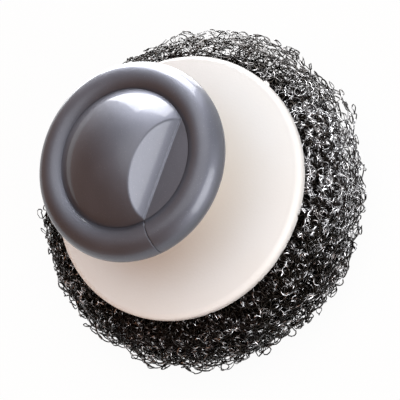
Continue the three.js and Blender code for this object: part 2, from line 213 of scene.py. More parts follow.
@labelled
class CoverSizes(PropertyGroup):
    """Sizes of the cover."""

    neck_radius: mm("Radius of the neck under the knob", 12)
    neck_straight: mm("Upright band under the top of the neck", 3)
    neck_flare: mm("Height over which the neck opens into the cover", 12)
    rim_height: mm("Height of the rim", 4.4)
    rim_round: mm("Rounding of the rim", 2.4)
    shoulder_rise: mm("Rise of the cover half way in", 3)
    wall: mm("Thickness of the cover", 2.4)
    bolt_hole: mm("Radius of the hole for the bolt", 3.4)
    boss: mm("Radius of the boss round the bolt", 6)
    edge: mm("Rounding of the moulded edges", 0.35)
    rib_count: count("Ribs under the cover", 8)
    rib_width: mm("Thickness of a rib", 1.8)
    tab_turn: angle("Place of the rim's small tab, from the X axis", -24.9)
    tab_size: mm("Half of the tab's width", 1.2)


@labelled
class ClampSizes(PropertyGroup):
    """Sizes of the clamp plate, the bolt and the washer."""

    plate: mm("Thickness of the clamp plate", 2.6)
    plate_round: mm("Rounding of the plate's lower edge", 1)
    square_hole: mm("Half width of the square hole in the plate", 3.4)
    claw_count: count("Claws on the plate", 6)
    claw_inset: mm("Edge of the plate to the middle of a claw", 4)
    claw_root: mm("Radius of a claw at the plate", 2)
    claw_tip: mm("Radius of a claw at its point", 0.5)
    bolt_radius: mm("Radius of the bolt", 3)
    head_height: mm("Height of the bolt's domed head", 3.2)
    thread_pitch: mm("Rise of the thread in one turn", 1)
    thread_depth: mm("Depth of the thread", 0.5)
    thread_length: mm("Threaded end of the bolt", 22)


@labelled
class ScourerSizes(PropertyGroup):
    """Sizes of the knitted scourer."""

    tuck: mm("From the cover's rim in to the scourer's top", 1)
    seat_gap: mm("Gap under the cover", 0.3)
    widest: mm("Height of the widest level", 14.5)
    foot_inset: mm("From the widest point in to the foot", 14)
    loose_turn: angle("Where the wire is loosest, from the X axis", -10)
    loose_depth: mm("Outside to the pressed mass, at the widest level", 8.5)
    loose_swing: mm("Deeper on the loose side, shallower opposite", 2.5)
    bulge: mm("Further out on the loose side", 0.7)
    tight: mm("Drawn in on the dense side", 1.5)
    well: mm("Radius of the well in the underside, at the floor", 28)
    lump: mm("Height of the even lumps round the outside", 0.45)
    wander: mm("How far the outside wanders in and out", 0.9)
    wander_size: mm("Length of one wander along the outside", 11)
    mass_gap: mm("From the outside in to the mass at its top", 1.2)
    mass_lump: mm("How far the mass wanders in and out", 1.0)
    rows: count("Rows of the knit round the scourer, in one layer", 16)
    rim_rows: count("Rows close under the rim of the cover", 7)
    layers: count("Layers of rows on the dense side", 3)
    row_sway: share("How far a row wanders over the outside and below it", 0.16)
    strands: count("Strands that wander freely", 105)
    strand_length: length("Length of a strand along its run of loops", 0.06)
    piece_run: length("Most wire in one piece along its run of loops", 3.5)
    wire: mm("Half of the width of the flattened wire", 0.18)
    loop: mm("Radius of a loop of the knit", 2.0)
    advance: mm("Step from one loop to the next", 3.7)
    loop_points: count("Points on one loop", 18)
    strays: count("Long loose wires", 90)
    stray_length: mm("Length of a long loose wire", 34)
    seed: count("Start of the random draws", 11)


@labelled
class Finishes(PropertyGroup):
    """Colours of the materials."""

    grey: colour("Colour of the knob", (0.1, 0.103, 0.125))
    grey_light: colour("Pale clouds in the knob's moulding", (0.112, 0.115, 0.139))
    white: colour("Colour of the cover", (0.837, 0.828, 0.81))
    white_warm: colour("Warm clouds in the cover's moulding", (0.815, 0.788, 0.752))
    # Painted shade: the warm tan where the knob shades the cover round its neck
    white_neck: colour("Cover round its neck, where fingers reach", (0.87, 0.785, 0.68))
    wire: colour("Colour of the scourer's wire", (0.8, 0.8, 0.82))
    wire_brown: colour("Colour of the stained wire", (0.19, 0.15, 0.12))
    # Painted shade: the wire on the side beside the windows is painted darker, to hold back the lamps' light
    # there
    wire_shade: colour("Bright wire beside the windows", (0.14, 0.132, 0.13))
    # Dull stretches at random, and painted shade: more of them away from the room's paler side
    wire_dull: colour("Dull wire, most of it on one side", (0.014, 0.0115, 0.0095))
    # Painted shade: the mass is near black, standing in for the shade deep inside the knit
    mass: colour("Colour of the pressed mass inside", (0.003, 0.0026, 0.0023))
    steel: colour("Colour of the fastening", (0.52, 0.53, 0.54))


@labelled
class StageSizes(PropertyGroup):
    """Camera, floor and lights."""

    target: mm("Height of the point in the camera's sight", 30.5)
    distance: length("Camera to the target", 0.4)
    azimuth: angle("Camera's place round the object", -9.6)
    elevation: angle("Camera's height above the horizon", 59.51)
    roll: angle("Turn of the camera about its line of sight", -61.53)
    focal: amount("Focal length in pixels of the photograph", 1262)
    target_across: amount("Column of the target in the photograph", 175.57)
    target_down: amount("Row of the target in the photograph", 185.48)
    floor: length("Width of the floor", 60.0)
    floor_glow: share("How much of the floor's white is its own", 0.95)
    fill: amount("Strength of the light from all round", 2.25)
    front: amount("Strength of the light from the pale patch in front", 3.6)
    sky: colour("Light from above and from the front", (1.0, 1.0, 1.0))
    near_fill: colour("Light from the paler side of the room", (0.325, 0.325, 0.34))
    far_fill: colour("Light from the dark side of the room", (0.178, 0.085, 0.043))
    window: amount("Power of the low window in watts", 2.0)
    pane: amount("Power of the pane beside it in watts", 1.2)
    card: amount("Power of the card on the floor in watts", 0.6)
    screen: amount("Power of the screen in front in watts", 0.8)


@labelled
class PalmScourer(PropertyGroup):
    """All that a user would change on the palm scourer."""

    knob: group(KnobSizes)
    cover: group(CoverSizes)
    clamp: group(ClampSizes)
    scourer: group(ScourerSizes)
    finish: group(Finishes)
    stage: group(StageSizes)


# Node trees

def maths(operation):
    """A method that adds a Math node on a value, and on others that it is given."""

    def worked(self, *others):
        return self.graph.add("ShaderNodeMath", dict(enumerate((self, *others))), operation=operation)

    return worked


def vector_maths(operation, output=0):
    """A method that adds a Vector Math node on a vector, and on others that it is given."""

    def worked(self, *others):
        sockets = dict(enumerate((self, *others)))
        return self.graph.add("ShaderNodeVectorMath", sockets, output, operation=operation)

    return worked


class Value:
    """A socket of a node tree that Python's own operators work on."""

    def __init__(self, graph, socket):
        self.graph = graph
        self.socket = socket

    __add__ = __radd__ = maths("ADD")
    __sub__ = maths("SUBTRACT")
    __mul__ = __rmul__ = maths("MULTIPLY")
    __truediv__ = maths("DIVIDE")
    __gt__ = maths("GREATER_THAN")
    at_least = maths("MAXIMUM")
    sine = maths("SINE")
    cosine = maths("COSINE")

    plus = vector_maths("ADD")
    minus = vector_maths("SUBTRACT")
    times = vector_maths("MULTIPLY")
    cross = vector_maths("CROSS_PRODUCT")
    unit = vector_maths("NORMALIZE")
    dot = vector_maths("DOT_PRODUCT", output=1)
    size = vector_maths("LENGTH", output=1)

    def scaled(self, factor):
        """This vector times a value."""
        sockets = {0: self, "Scale": factor}
        return self.graph.add("ShaderNodeVectorMath", sockets, operation="SCALE")

    def ramp(self, low, high):
        """0 up to low, 1 from high on, and a smooth rise between them."""
        sockets = {"Value": self, "From Min": low, "From Max": high}
        return self.graph.add("ShaderNodeMapRange", sockets, interpolation_type="SMOOTHSTEP")


class Graph:
    """A node tree that is being written."""

    def __init__(self, tree):
        self.tree = tree
        tree.nodes.clear()

    def add(self, kind, sockets=None, output=0, **settings):
        """Adds a node: its settings first, then its sockets; returns one of its outputs, if it has any."""
        node = self.tree.nodes.new(kind)
        for key, value in settings.items():
            setattr(node, key, value)
        for key, value in (sockets or {}).items():
            self.feed(self.input(node, key), value)
        return Value(self, node.outputs[output]) if node.outputs else None

    def input(self, node, key):
        """The input of a node with that number, name or identifier."""
        if isinstance(key, int):
            return node.inputs[key]
        named = [s for s in node.inputs if key in (s.identifier, s.name)]
        return next((s for s in named if s.enabled), named[0])

    def feed(self, socket, value):
        """Links a value to a socket, or sets the socket to a plain number or colour."""
        if isinstance(value, Value):
            self.tree.links.new(value.socket, socket)
        elif socket.type == "RGBA" and len(value) == 3:
            socket.default_value = (*value, 1)
        else:
            socket.default_value = value

    def outputs(self, kind, *names, **sockets):
        """Adds a node and returns the outputs with those names."""
        node = self.add(kind, sockets).socket.node
        return [Value(self, node.outputs[name]) for name in names]

    def noise(self, place, scale=1.0, detail=2.0):
        """Noise from 0 to 1 at a place."""
        return self.add("ShaderNodeTexNoise", {"Vector": place, "Scale": scale, "Detail": detail})

    def mix(self, factor, first, second):
        """A colour between two colours."""
        sockets = {"Factor_Float": factor, "A_Color": first, "B_Color": second}
        return self.add("ShaderNodeMix", sockets, output=2, data_type="RGBA")


class Finish(Graph):
    """A material that is being written, on Object coordinates."""

    def __init__(self, slot):
        self.material = bpy.data.materials.new(FINISH_NAME.format(slot))
        self.material.use_nodes = True
        super().__init__(self.material.node_tree)
        self.place = self.add("ShaderNodeTexCoord", output=3)

    def bump(self, height, distance):
        """A bumped normal from a height between 0 and 1."""
        return self.add("ShaderNodeBump", {"Height": height, "Distance": distance, "Strength": 1.0})

    def surface(self, **sockets):
        """Ends the material in a Principled shader; underscores stand for spaces."""
        named = {key.replace("_", " "): value for key, value in sockets.items()}
        return self.end(self.add("ShaderNodeBsdfPrincipled", named))

    def end(self, shader):
        """Sends a shader to the material's output."""
        self.add("ShaderNodeOutputMaterial", {"Surface": shader})
        return self.material


# Materials

FLAKE = (0.42, 0.42, 0.45)  # metal flake in the grey moulding
MASS_LIGHT = (0.012, 0.01, 0.009)  # the paler wire in the pressed mass


def grey_moulding(made, finish):
    """Glossy grey plastic with fine metal flake under a clear skin, and faint handling marks."""
    clouds = made.noise(made.place, scale=70, detail=4.0).ramp(0.35, 0.7)
    flecks = made.noise(made.place, scale=2600, detail=1.0).ramp(0.66, 0.74)
    marks = made.noise(made.place.times((260, 1900, 900)), detail=3.0).ramp(0.62, 0.75)
    base = made.mix(clouds, finish.grey, finish.grey_light)
    speckled = made.mix(flecks * 0.1, base, FLAKE)
    skin = made.noise(made.place, scale=420)
    made.surface(
        Base_Color=speckled,
        Metallic=0.85,
        Roughness=0.5 + 0.04 * clouds + 0.08 * marks,
        Coat_Weight=0.5,
        Coat_IOR=1.45,
        Coat_Roughness=0.07,
        Normal=made.bump(skin, 0.04 * MM),
    )


def white_moulding(made, finish):
    """Satin off-white plastic with warm clouds and a fine moulded grain, and painted warm shade round the
    neck under the knob.
    """
    clouds = made.noise(made.place, scale=38, detail=3.0).ramp(0.35, 0.72)
    grain = made.noise(made.place, scale=1500)
    base = made.mix(clouds * 0.6, finish.white, finish.white_warm)
    # Painted shade: the cover darkens to a warm tan towards its neck, under the knob
    neck_shade = made.place.times(LEVEL).size().ramp(*NECK_SHADE_RADII)
    made.surface(
        Base_Color=made.mix(neck_shade, base, finish.white_neck),
        Roughness=0.36 + 0.1 * grain,
        Specular_IOR_Level=0.2,
        IOR=1.49,
        Normal=made.bump(grain, 0.03 * MM),
    )


def bright_steel(made, finish):
    """Turned steel with fine rings and dull patches."""
    rings = made.noise(made.place.times((400, 400, 6000)))
    dull = made.noise(made.place, scale=300, detail=3.0)
    shade = tuple(0.75 * part for part in finish.steel)
    made.surface(
        Base_Color=made.mix(dull, finish.steel, shade),
        Metallic=1.0,
        Roughness=0.24 + 0.18 * rings,
        Normal=made.bump(rings, 0.04 * MM),
    )


def scourer_wire(made, finish):
    """Drawn wire in bright and dull stretches, browner where it has tarnished, with painted shade: more dull
    stretches away from the room's paler side and darker wire beside the windows.
    """
    # Painted shade: fewer dull stretches towards the room's paler side, more on the side away from it
    near = made.place.dot(NEAR).ramp(3 * MM, 48 * MM)
    # Painted shade: darker wire on the side that faces the windows
    beside = made.place.dot(WINDOWS).ramp(10 * MM, 45 * MM)
    stains = made.noise(made.place, scale=160, detail=3.0).ramp(0.5, 0.75)
    cut = 0.236 + 0.1 * near  # the wire is dull where the noise is above this
    dull = made.noise(made.place, scale=450, detail=1.5).ramp(cut, cut + 0.24)
    stained = made.mix(stains * 0.6, finish.wire, finish.wire_brown)
    bright = made.mix(beside, stained, finish.wire_shade)
    made.surface(
        Base_Color=made.mix(dull, bright, finish.wire_dull),
        Metallic=1.0,
        Roughness=0.1,
    )


def pressed_wire(made, finish):
    """The mass of wire inside the scourer; its near-black colour is painted shade deep in the knit."""
    knit = made.noise(made.place, scale=700, detail=3.0)
    made.surface(
        Base_Color=made.mix(knit.ramp(0.4, 0.7), finish.mass, MASS_LIGHT),
        Roughness=0.9,
        Specular_IOR_Level=0.02,
        Normal=made.bump(knit, 1.2 * MM),
    )


RECIPES = (grey_moulding, white_moulding, bright_steel, scourer_wire, pressed_wire)
MATERIALS = {recipe.__name__: recipe for recipe in RECIPES}


def material(slot):
    """The material of one of the record's slots, made when it is first asked for."""
    name = FINISH_NAME.format(slot)
    if name not in bpy.data.materials:
        MATERIALS[slot](Finish(slot), bpy.context.scene.palm_scourer.finish)
    return bpy.data.materials[name]


# Mesh helpers

def arc(radius, height, size, start, end, steps=EDGE_STEPS):
    """Points of a profile on a circle between two angles in degrees."""
    points = []
    for step in range(steps + 1):
        at = math.radians(start + (end - start) * step / steps)
        points.append((radius + size * math.cos(at), height + size * math.sin(at)))
    return points


def bezier(corners, steps=CURVE_STEPS):
    """Points of a profile on the curve that a few corners pull."""
    points = []
    for step in range(steps + 1):
        row = [Vector(corner) for corner in corners]
        while len(row) > 1:
            row = [a.lerp(b, step / steps) for a, b in zip(row, row[1:])]
        points.append(tuple(row[0]))
    return points


def rounded(corners, size):
    """A closed profile with each corner rounded as far as its sides allow."""
    most = 0.4  # share of a side that one corner may take
    points = []
    for before, here, after in zip(corners[-1:] + corners, corners, corners[1:] + corners[:1]):
        here = Vector(here)
        back = Vector(before) - here
        ahead = Vector(after) - here
        cut = min(size, back.length * most, ahead.length * most)
        points += bezier([here + back.normalized() * cut, here, here + ahead.normalized() * cut], EDGE_STEPS)
    return points


def inset(profile, distance):
    """A profile moved sideways by a distance, to its right along its run."""
    moved = []
    for before, here, after in zip(profile[:1] + profile, profile, profile[1:] + profile[-1:]):
        along = (Vector(after) - Vector(before)).normalized()
        moved.append((here[0] + along.y * distance, here[1] - along.x * distance))
    return moved


def placed(name, data):
    """A new object of the scene, at the origin."""
    made = bpy.data.objects.new(name, data)
    bpy.context.scene.collection.objects.link(made)
    return made


def plain_mesh(name, points, edges, faces):
    """A mesh of points, edges and faces."""
    mesh = bpy.data.meshes.new(name)
    mesh.from_pydata(points, edges, faces)
    return mesh


def mesh_object(name, points, faces):
    """A smooth mesh object with its faces turned outwards."""
    mesh = plain_mesh(name, points, [], faces)
    mesh.validate()
    if enclosed(mesh) < 0:
        mesh.flip_normals()
    mesh.shade_smooth()
    mesh.set_sharp_from_angle(angle=SHARP)
    return placed(name, mesh)


def enclosed(mesh):
    """Volume inside a closed mesh, negative if its faces point inwards."""
    mesh.calc_loop_triangles()
    spot = [vertex.co for vertex in mesh.vertices]
    corners = ([spot[i] for i in face.vertices] for face in mesh.loop_triangles)
    return sum(a.dot(b.cross(c)) for a, b, c in corners) / 6


def rings_object(name, rings, closed):
    """A surface through rings of points; closed joins the last ring to the first.

    A ring of one point is a pole.
    """
    points, numbers = numbered(rings)
    pairs = list(zip(numbers, numbers[1:]))
    if closed:
        pairs.append((numbers[-1], numbers[0]))
    faces = []
    for low, high in pairs:
        faces += bridge(low, high)
    return mesh_object(name, points, faces)


def numbered(rings, start=0):
    """Points of all rings in one list, and the numbers of each ring's points, from a start on."""
    points = []
    numbers = []
    for ring in rings:
        first = start + len(points)
        numbers.append(range(first, first + len(ring)))
        points += ring
    return points, numbers


def bridge(low, high, wrap=True):
    """Faces between two rows of point numbers; wrap joins their ends, and a row of one number is a pole."""
    around = max(len(low), len(high))
    faces = []
    for i in range(around if wrap else around - 1):
        corners = ((low, i), (low, i + 1), (high, i + 1), (high, i))
        faces.append(list(dict.fromkeys(row[step % len(row)] for row, step in corners)))
    return faces


def polar(radius, turn, height):
    """A point at a radius, a turn and a height."""
    return (radius * math.cos(turn), radius * math.sin(turn), height)


def turned(profile, steps):
    """A ring of points for each point of a profile. A radius may be a function of the turn."""
    rings = []
    for radius, height in profile:
        ring = []
        for step in range(steps):
            turn = TURN * step / steps
            ring.append(polar(radius(turn) if callable(radius) else radius, turn, height))
        rings.append(ring)
    return rings


def lathe(name, profile, steps=ROUND_STEPS):
    """Turns a closed profile round the axis."""
    return rings_object(name, turned(profile, steps), closed=True)


def polygon(sides, flats, spin=0.0):
    """Radius of a polygon as a function of the turn, from the distance to its flats."""
    part = TURN / sides

    def radius(turn):
        return flats / math.cos((turn + spin) % part - part / 2)

    return radius


def finish_piece(piece, slot, body, *nodes):
    """Gives a piece its material and its body, and puts it in the place of CAD nodes."""
    piece.data.materials.clear()
    piece.data.materials.append(material(slot))
    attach(piece, body)
    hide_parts(*nodes)
    return piece


# Geometry Nodes

def modifier_tree(name, inputs):
    """A geometry tree with named inputs; returns its graph and the inputs as values."""
    tree = bpy.data.node_groups.new(name, "GeometryNodeTree")
    tree.is_modifier = True
    face = tree.interface
    face.new_socket("Geometry", in_out="INPUT", socket_type="NodeSocketGeometry")
    for label, kind in inputs.items():
        face.new_socket(label, in_out="INPUT", socket_type="NodeSocket" + kind)
    face.new_socket("Geometry", in_out="OUTPUT", socket_type="NodeSocketGeometry")
    graph = Graph(tree)
    entry = graph.add("NodeGroupInput").socket.node
    given = {socket.name: Value(graph, socket) for socket in entry.outputs if socket.name}
    return graph, given


def end_tree(graph, geometry, given):
    """Ends a geometry tree in real faces with the material that it was given."""
    real = graph.add("GeometryNodeRealizeInstances", {"Geometry": geometry})
    painted = graph.add("GeometryNodeSetMaterial", {"Geometry": real, "Material": given["Material"]})
    graph.add("NodeGroupOutput", {"Geometry": painted})
    return graph.tree


def grown(name, seed_mesh, tree, **sizes):
    """Runs a geometry tree on a mesh and returns the result as a plain mesh object."""
    source = placed(name + "_source", seed_mesh)
    modifier = source.modifiers.new("Nodes", "NODES")
    modifier.node_group = tree
    for item in tree.interface.items_tree:
        label = item.name.replace(" ", "_").lower()
        if item.in_out == "INPUT" and label in sizes:
            modifier[item.identifier] = sizes[label]
    graph = bpy.context.evaluated_depsgraph_get()
    mesh = bpy.data.meshes.new_from_object(source.evaluated_get(graph))
    mesh.name = name
    source.modifiers.clear()
    bpy.data.objects.remove(source)
    bpy.data.meshes.remove(seed_mesh)
    return placed(name, mesh)


def curled_wire_tree():
    """Turns guide lines into wires that run along them in loops, laid flat on the scourer's outside."""
    sizes = ("Wire", "Loop", "Advance", "Step", "Stray", "Shoulder", "Widest", "Seed")
    graph, given = modifier_tree("Curled wire", {**dict.fromkeys(sizes, "Float"), "Material": "Material"})
    lines = graph.add("GeometryNodeMeshToCurve", {"Mesh": given["Geometry"]})
    resampled = {"Curve": lines, "Length": given["Step"]}
    fine = graph.add("GeometryNodeResampleCurve", resampled, mode="LENGTH")
    run = graph.add("GeometryNodeSplineParameter", output=1)
    along = graph.add("GeometryNodeInputTangent")
    place = graph.add("GeometryNodeInputPosition")
    strand = graph.add("GeometryNodeCurveOfPoint")

    # Out of the scourer's section, and sideways along its outside
    level = graph.add("ShaderNodeCombineXYZ", {"Z": given["Widest"]})
    middle = place.times(LEVEL).unit().scaled(given["Shoulder"]).plus(level)
    out = place.minus(middle).unit()
    side = along.cross(out).unit()

    # Noise that differs from strand to strand tilts, swells and shifts the loops
    shift = graph.add("ShaderNodeCombineXYZ", {"X": strand * STRAND_APART, "Y": given["Seed"]})
    spot = place.scaled(WIRE_GRAIN).plus(shift)
    swell = graph.noise(spot.scaled(SWELL_GRAIN))
    tilt = (graph.noise(spot) - 0.5) * LOOP_TILT
    phase = run / given["Advance"] * TURN + LOOP_SHIFT * swell
    size = given["Loop"] * (LEAST_LOOP + LOOP_SWELL * swell)
    upright = side.scaled(tilt.cosine()).plus(out.scaled(tilt.sine()))
    curl = along.scaled(size * phase.sine()).plus(upright.scaled(size * phase.cosine()))
    weave = along.cross(upright).scaled(size * LOOP_WEAVE * (phase * 0.5).sine())
    drift = {"Vector": spot.scaled(LOOSE_GRAIN), "Detail": 1.0}
    loose = graph.add("ShaderNodeTexNoise", drift, output=1, normalize=False).scaled(given["Stray"])
    offset = curl.plus(weave).plus(loose)
    moved = graph.add("GeometryNodeSetPosition", {"Geometry": fine, "Offset": offset})

    # The lowest wire lies on the floor
    x, y, z = graph.outputs("ShaderNodeSeparateXYZ", "X", "Y", "Z", Vector=place)
    lowest = OFF_FLOOR * given["Wire"]
    above_floor = graph.add("ShaderNodeCombineXYZ", {"X": x, "Y": y, "Z": z.at_least(lowest)})
    laid = graph.add("GeometryNodeSetPosition", {"Geometry": moved, "Position": above_floor})

    # A flat section, twisted along the wire
    twist = graph.noise(spot.scaled(TWIST_GRAIN), detail=1.0) * TURN
    turned_wire = graph.add("GeometryNodeSetCurveTilt", {"Curve": laid, "Tilt": twist})
    flat = {"Width": 2 * given["Wire"], "Height": FLAT_WIRE * given["Wire"]}
    section = graph.add("GeometryNodeCurvePrimitiveQuadrilateral", flat)
    strip = graph.add("GeometryNodeCurveToMesh", {"Curve": turned_wire, "Profile Curve": section})
    smooth = graph.add("GeometryNodeSetShadeSmooth", {0: strip, "Shade Smooth": True})
    return end_tree(graph, smooth, given)


def ring_copies_tree():
    """Spreads copies of a shape evenly round the axis."""
    graph, given = modifier_tree("Round copies", {"Copies": "Int", "Material": "Material"})
    spots = graph.add("GeometryNodeMeshLine", {"Count": given["Copies"], "Offset": (0.0, 0.0, 0.0)})
    number = graph.add("GeometryNodeInputIndex")
    turn = graph.add("ShaderNodeCombineXYZ", {"Z": number * TURN / given["Copies"]})
    spread = {"Points": spots, "Instance": given["Geometry"], "Rotation": turn}
    return end_tree(graph, graph.add("GeometryNodeInstanceOnPoints", spread), given)


def joined(main, *others):
    """One object from several that ride together."""
    bpy.ops.object.select_all(action="DESELECT")
    for piece in (main, *others):
        piece.select_set(True)
    bpy.context.view_layer.objects.active = main
    bpy.ops.object.join()
    return main


# Knob

class KnobFrame:
    """Places on the knob that its pieces share."""

    def __init__(self, sizes):
        self.tube = sizes.ring_section / 2
        self.ring_radius = reach("grip_ring") - self.tube
        self.ring_level = (foot("grip_ring") + top("grip_ring")) / 2
        self.cap_floor = top("knob_cap") - sizes.dome_rise
        self.dome_radius = self.inside_ring(self.cap_floor, sizes.cap_gap)
        self.chord = reach("knob_cap") - sizes.flat_depth
        self.split_turn = -TURN / 4 - math.acos(self.chord / self.dome_radius)
        self.flange_foot = self.inside_ring(self.cap_floor - sizes.flange, sizes.seat_gap)
        self.skirt = self.flange_foot - sizes.flange_seat

    def inside_ring(self, height, gap):
        """Inner edge of the space that the ring takes up at a height."""
        return self.ring_radius - math.sqrt((self.tube + gap) ** 2 - (height - self.ring_level) ** 2)


def grip_ring(sizes):
    """Round ring as thick as a finger, with one fine split across it."""
    at = KnobFrame(sizes)
    along_steps = 288
    section_steps = 48
    half_split = sizes.ring_split / 2 / at.ring_radius
    start = at.split_turn + half_split
    sweep = TURN - 2 * half_split
    edge = sizes.split_round / at.ring_radius
    stations = [(start, at.tube - sizes.split_round)]
    for step in range(EDGE_STEPS + 1):
        lean = TURN / 4 * step / EDGE_STEPS
        along = start + edge * (1 - math.cos(lean))
        stations.append((along, at.tube - sizes.split_round * (1 - math.sin(lean))))
    near_end = [(2 * start + sweep - turn, size) for turn, size in reversed(stations)]
    for step in range(1, along_steps):
        stations.append((start + edge + (sweep - 2 * edge) * step / along_steps, at.tube))
    stations += near_end
    rings = [[polar(at.ring_radius, stations[0][0], at.ring_level)]]
    for turn, size in stations:
        section = arc(at.ring_radius, at.ring_level, size, 0, 360, section_steps)[:-1]
        rings.append([polar(radius, turn, height) for radius, height in section])
    rings.append([polar(at.ring_radius, stations[-1][0], at.ring_level)])
    return rings_object("grip_ring_skin", rings, closed=False)


def soft_lower(a, b, size):
    """The lower of two heights, rounded where they meet."""
    near = max(size - abs(a - b), 0) / size
    return min(a, b) - near * near * size / 4


def knob_cap(sizes):
    """Dome with a scooped thumb flat, on a flange with a skirt."""
    at = KnobFrame(sizes)
    ball = (at.dome_radius**2 + sizes.dome_rise**2) / (2 * sizes.dome_rise)
    slope = 1 / math.tan(sizes.flat_lean)
    flat_run = sizes.dome_rise / slope
    scoop = sizes.flat_hollow / math.sin(sizes.flat_lean)
    columns = 200
    coarse, fine, near = math.pi / 230, math.pi / 1400, 0.035  # steps between rows, finer near the flat
    hollow_rings = 12

    def height(x, y):
        dome = math.sqrt(max(ball * ball - x * x - y * y, 0)) - (ball - sizes.dome_rise)
        run = y + at.chord
        along = min(max(run / flat_run, 0), 1)
        lip = sizes.flat_lip * min(max(run / sizes.flat_lip, 0), 1)
        flat = run * slope - scoop * 4 * along * (1 - along) + lip
        raised = soft_lower(dome, flat, sizes.flat_edge)
        return at.cap_floor - soft_lower(-raised, 0, sizes.flat_fillet)

    def row(turn):
        half, y = at.dome_radius * math.sin(turn), -at.dome_radius * math.cos(turn)
        across = [half * (1 - 2 * i / columns) for i in range(columns + 1)]
        return [(x, y, height(x, y)) for x in across]

    chord_turn = math.acos(at.chord / at.dome_radius)
    rows = [row(0)[:1]]
    rows += [row(turn) for turn in fine_steps(math.pi, coarse, fine, chord_turn, near)]
    rows.append(row(math.pi)[:1])
    points, numbers = numbered(rows)
    faces = []
    for low, high in zip(numbers, numbers[1:]):
        faces += bridge(low, high, wrap=False)
    rim = [number[0] for number in numbers] + [number[-1] for number in reversed(numbers[1:-1])]
    turns = [math.atan2(points[i][1], points[i][0]) for i in rim]

    def under(radius):
        spots = [polar(radius, turn, 0) for turn in turns]
        return [(x, y, height(x, y) - sizes.cap_wall) for x, y, _ in spots]

    flange_foot = at.cap_floor - sizes.flange
    skirt_foot = foot("knob_cap")
    hollow = at.skirt - sizes.cap_wall
    flange = rounded(
        [
            (hollow, at.cap_floor),
            (at.dome_radius, at.cap_floor),
            (at.flange_foot, flange_foot),
            (at.skirt, flange_foot),
            (at.skirt, skirt_foot),
            (hollow, skirt_foot),
        ],
        sizes.edge / 2,
    )[2 * (EDGE_STEPS + 1) :]
    rings = [[polar(radius, turn, level) for turn in turns] for radius, level in flange]
    rings += [under(hollow * (hollow_rings - i) / hollow_rings) for i in range(hollow_rings)]
    rings.append([(0, 0, height(0, 0) - sizes.cap_wall)])
    below, loops = numbered(rings, len(points))
    for low, high in zip([rim, *loops], loops):
        faces += bridge(low, high)
    return mesh_object("knob_cap_skin", points + below, faces)


def fine_steps(end, coarse, fine, spot, near):
    """Places between 0 and an end, a coarse step apart, or a fine one near a spot."""
    places = []
    place = coarse
    while place < end - coarse / 2:
        places.append(place)
        place += fine if abs(place - spot) < near else coarse
    return places


def knob_hub(sizes, cover):
    """Hub with a flared foot, a saddle for the ring, and pockets for the cap and the nut."""
    at = KnobFrame(sizes)
    base = foot("knob_hub")
    head = base + sizes.hub_height
    wrap = 180 + math.degrees(sizes.saddle_reach)
    saddle = arc(at.ring_radius, at.ring_level, at.tube + sizes.seat_gap, wrap, 180, steps=16)
    lip = saddle[0]
    under = lip[1] - sizes.saddle_lip
    neck = cover.neck_radius
    flare = bezier([(neck, base + sizes.edge), (neck + MM, under), (lip[0] - sizes.edge, under)])
    edge = arc(lip[0] - sizes.edge, under + sizes.edge, sizes.edge, -90, 0)
    recess = at.skirt + sizes.seat_gap
    pocket = polygon(6, sizes.nut_flats)
    recess_floor = head - sizes.hub_recess
    pocket_floor = base + sizes.nut_seat
    profile = [(cover.bolt_hole, base), (neck - sizes.edge, base), *flare, *edge[1:], *saddle]
    profile += [
        (at.inside_ring(head, sizes.seat_gap), head),
        (recess, head),
        (recess, recess_floor),
        (pocket, recess_floor),
        (pocket, pocket_floor),
        (cover.bolt_hole, pocket_floor),
    ]
    return lathe("knob_hub_skin", profile)


# Cover

def cover_run(sizes, distance=0.0):
    """Outside of the cover from the top of its neck to its rim, moved in by a distance."""
    seat = foot("base_cover")
    rim = reach("base_cover")
    neck_top = top("base_cover")
    shoulder = (rim - sizes.rim_round, seat + sizes.rim_height)
    flare_top = neck_top - sizes.neck_straight
    flare = bezier(
        [
            (sizes.neck_radius, flare_top),
            (sizes.neck_radius, flare_top - sizes.neck_flare),
            ((sizes.neck_radius + rim) / 2, shoulder[1] + sizes.shoulder_rise),
            shoulder,
        ],
        steps=3 * CURVE_STEPS,
    )
    bead = arc(shoulder[0], shoulder[1] - sizes.rim_round, sizes.rim_round, 75, 0, steps=12)
    run = [(sizes.neck_radius, neck_top - sizes.edge), *flare, *bead, (rim, seat + sizes.edge)]
    return inset(run, distance)


def base_cover(sizes):
    """Thin bell with a neck, a boss for the bolt and ribs underneath."""
    seat = foot("base_cover")
    neck_top = top("base_cover")
    outside = cover_run(sizes)
    inside = cover_run(sizes, sizes.wall)
    roof = neck_top - sizes.wall
    neck_edge = arc(sizes.neck_radius - sizes.edge, neck_top - sizes.edge, sizes.edge, 90, 0)
    rim_edge = arc(outside[-1][0] - sizes.edge, seat + sizes.edge, sizes.edge, 0, -90)
    profile = [(sizes.bolt_hole, neck_top), *neck_edge, *outside[1:-1], *rim_edge, (inside[-1][0], seat)]
    profile += [point for point in reversed(inside) if point[1] < roof]
    profile += [(inside[0][0], roof), (sizes.boss, roof), (sizes.boss, seat), (sizes.bolt_hole, seat)]
    bell = lathe("base_cover_skin", profile, steps=256)
    sheet = cover_run(sizes, sizes.wall / 2)
    outline = [(sizes.boss - sizes.edge, seat), (sizes.boss - sizes.edge, roof)]
    outline += [point for point in sheet if point[1] < roof]
    outline += [(sheet[-1][0], seat)]
    points = [(radius, side * sizes.rib_width / 2, z) for side in (-1, 1) for radius, z in outline]
    many = len(outline)
    faces = [list(range(many)), list(range(2 * many - 1, many - 1, -1))]
    faces += [[i, many + i, many + (i + 1) % many, (i + 1) % many] for i in range(many)]
    rib = mesh_object("rib", points, faces)
    ribs = copies_of(rib, "cover_ribs", sizes.rib_count, "white_moulding")
    return joined(bell, ribs, rim_tab(sizes))


